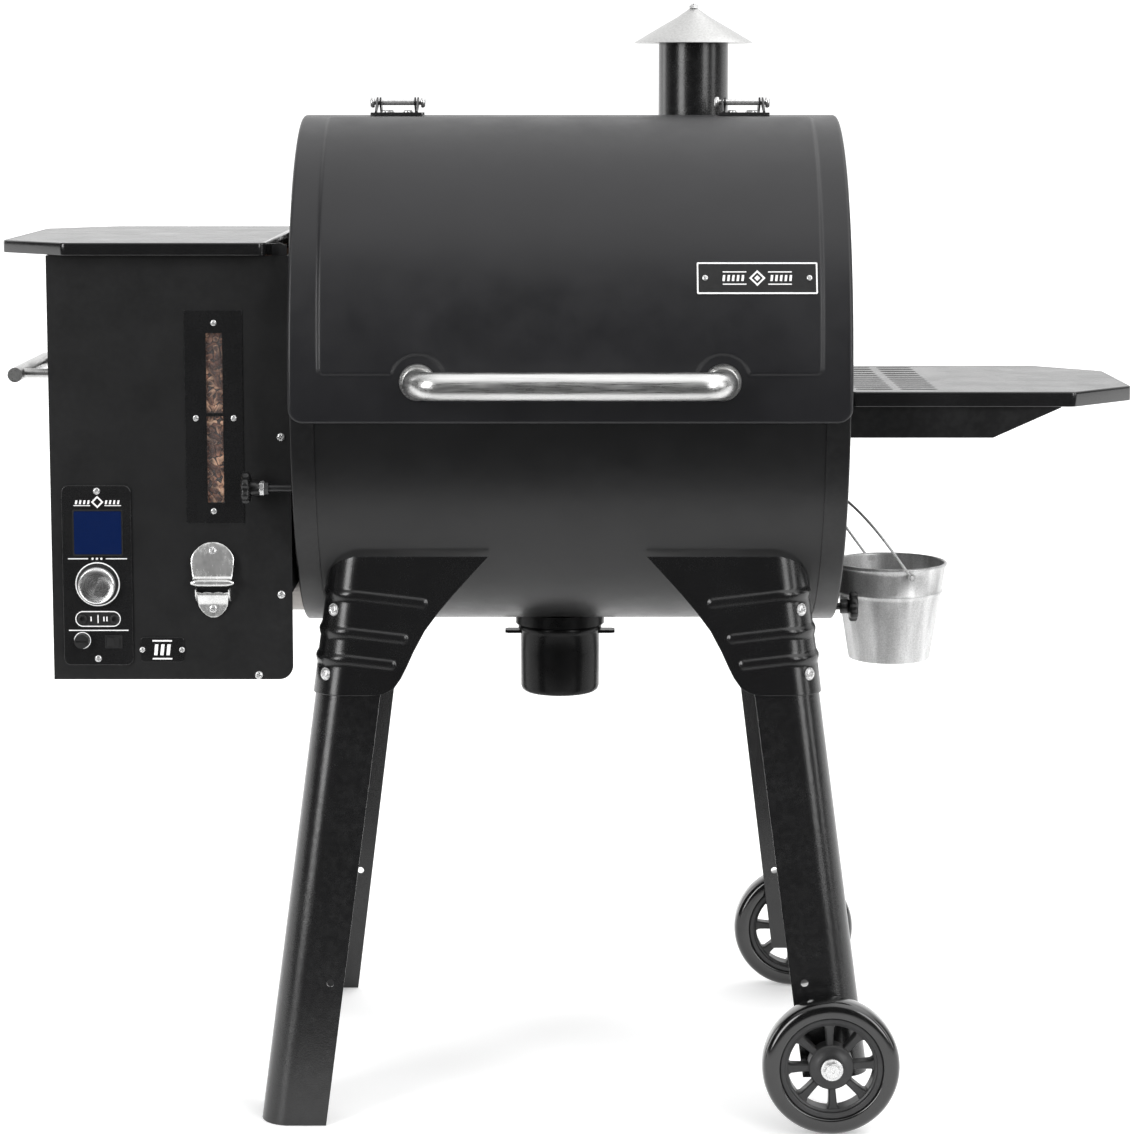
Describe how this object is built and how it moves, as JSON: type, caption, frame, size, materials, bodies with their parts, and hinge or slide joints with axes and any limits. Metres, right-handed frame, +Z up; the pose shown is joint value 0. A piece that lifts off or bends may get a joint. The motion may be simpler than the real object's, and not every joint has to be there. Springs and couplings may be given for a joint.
{
  "type": "pellet smoker grill",
  "caption": "Barrel-shaped wood pellet grill on splayed legs with wheels, with a side pellet hopper, side shelf, chimney, ash cup and grease bucket.",
  "frame": {"origin": "on the floor, at the middle of the whole object's box", "axes": "+Z up, +X to the right seen from the front, -Y to the front where the lid handle is"},
  "size_m": [1.298, 0.6334, 1.272],
  "materials": {
    "black_powder_coat": "semi-gloss powder coat",
    "black_hammered_coat": "fine textured semi-gloss",
    "hopper_coat": "smooth satin black",
    "stainless": "brushed",
    "cap_stainless": "satin",
    "zinc_screws": "bright zinc",
    "galvanised": "galvanised",
    "inner_steel": "plain sheet",
    "black_plastic": "moulded",
    "display": "gloss",
    "window": "clear",
    "wood_pellets": "raw pressed wood",
    "cast_grate": "porcelain black",
    "tyre_black": "gloss",
    "hub_grey": "satin",
    "dial_metal": "spun",
    "black_steel_rod": "black oxide"
  },
  "bodies": {
    "chassis": {"ash_collar": "black_powder_coat", "auger_motor": "inner_steel", "auger_tube": "inner_steel", "barrel_shell": "black_powder_coat", "bolts_and_axles": "zinc_screws", "bottle_opener": "stainless", "burn_pot": "inner_steel", "case_screws": "zinc_screws", "chimney_pipe": "black_hammered_coat", "controller_plate": "hopper_coat", "controller_screen": "display", "cooking_grate": "cast_grate", "fan_housing": "inner_steel", "grease_spout": "zinc_screws", "grease_tray": "inner_steel", "heat_deflector": "inner_steel", "hinge_brackets": "stainless", "hopper_bin": "inner_steel", "hopper_box": "hopper_coat", "hopper_handle": "stainless", "igniter_rod": "inner_steel", "left_end_cap": "black_powder_coat", "leg_bracket_front_left": "black_hammered_coat", "leg_bracket_front_right": "black_hammered_coat", "leg_bracket_rear_left": "black_hammered_coat", "leg_bracket_rear_right": "black_hammered_coat", "leg_front_left": "black_hammered_coat", "leg_front_right": "black_hammered_coat", "leg_rear_left": "black_hammered_coat", "leg_rear_right": "black_hammered_coat", "pellet_window": "window", "pellets": "wood_pellets", "power_inlet": "black_plastic", "right_end_cap": "black_powder_coat", "shelf_brackets": "black_powder_coat", "side_shelf": "black_powder_coat", "temperature_probe": "inner_steel", "warming_rack": "cast_grate"},
    "lid": {"lid_shell": "black_powder_coat", "lid_handle": "stainless", "name_plate": "black_plastic", "lid_hinge_leaves": "stainless"},
    "hopper_cover": {"hopper_lid": "black_powder_coat"},
    "slide_pull": {"slide_rod": "black_steel_rod", "slide_knob": "black_plastic"},
    "ash_pull": {"ash_rod": "black_steel_rod", "ash_knob": "black_plastic"},
    "cup": {"ash_cup": "black_powder_coat"},
    "bucket": {"grease_bucket": "galvanised"},
    "bail": {"bucket_bail": "galvanised"},
    "cap": {"chimney_cap": "cap_stainless"},
    "front_wheel": {"front_tyre": "tyre_black", "front_hub": "hub_grey"},
    "rear_wheel": {"rear_tyre": "tyre_black", "rear_hub": "hub_grey"},
    "dial": {"control_knob": "dial_metal"},
    "rocker": {"power_switch": "black_plastic"},
    "fuse": {"fuse_cap": "black_plastic"},
    "auger": {"auger_screw": "inner_steel"},
    "fan": {"fan_impeller": "inner_steel"}
  },
  "joints": [
    {"name": "lid_hinge", "type": "hinge", "parent": "chassis", "child": "lid", "pos_m": [0, 0.03275, 1.152], "axis": [-1, 0, 0], "range_deg": [0, 95]},
    {"name": "hopper_lid_hinge", "type": "hinge", "parent": "chassis", "child": "hopper_cover", "pos_m": [-0.326, 0.01075, 0.989], "axis": [0, 1, 0], "range_deg": [0, 88]},
    {"name": "slide_pull_out", "type": "slide", "parent": "chassis", "child": "slide_pull", "axis": [-1, 0, 0], "range_m": [0, 0.055]},
    {"name": "ash_pull_out", "type": "slide", "parent": "chassis", "child": "ash_pull", "axis": [1, 0, 0], "range_m": [0, 0.08]},
    {"name": "cup_off", "type": "slide", "parent": "chassis", "child": "cup", "axis": [0, 0, -1], "range_m": [0, 0.09]},
    {"name": "bucket_off", "type": "slide", "parent": "chassis", "child": "bucket", "axis": [0.9848, 0, 0.1736], "range_m": [0, 0.12]},
    {"name": "bail_swing", "type": "hinge", "parent": "bucket", "child": "bail", "pos_m": [0.383, 0.01075, 0.598], "axis": [-0.2419, 0.9703, 0], "range_deg": [0, 120]},
    {"name": "cap_height", "type": "slide", "parent": "chassis", "child": "cap", "axis": [0, 0, 1], "range_m": [-0.012, 0.02]},
    {"name": "front_wheel_spin", "type": "hinge", "parent": "chassis", "child": "front_wheel", "pos_m": [0.293, -0.26925, 0.0775], "axis": [0, 1, 0], "continuous": true},
    {"name": "rear_wheel_spin", "type": "hinge", "parent": "chassis", "child": "rear_wheel", "pos_m": [0.293, 0.29075, 0.0775], "axis": [0, 1, 0], "continuous": true},
    {"name": "dial_turn", "type": "hinge", "parent": "chassis", "child": "dial", "pos_m": [-0.5353, -0.17925, 0.61], "axis": [0, -1, 0], "continuous": true},
    {"name": "rocker_tilt", "type": "hinge", "parent": "chassis", "child": "rocker", "pos_m": [-0.5183, -0.17625, 0.5444], "axis": [0, 0, 1], "range_deg": [0, 12]},
    {"name": "fuse_turn", "type": "hinge", "parent": "chassis", "child": "fuse", "pos_m": [-0.5536, -0.17925, 0.546], "axis": [0, -1, 0], "range_deg": [0, 45]},
    {"name": "auger_turn", "type": "hinge", "parent": "chassis", "child": "auger", "pos_m": [-0.3, 0.01075, 0.592], "axis": [1, 0, 0], "continuous": true},
    {"name": "fan_turn", "type": "hinge", "parent": "chassis", "child": "fan", "pos_m": [-0.4, 0.11575, 0.563], "axis": [1, 0, 0], "continuous": true}
  ]
}
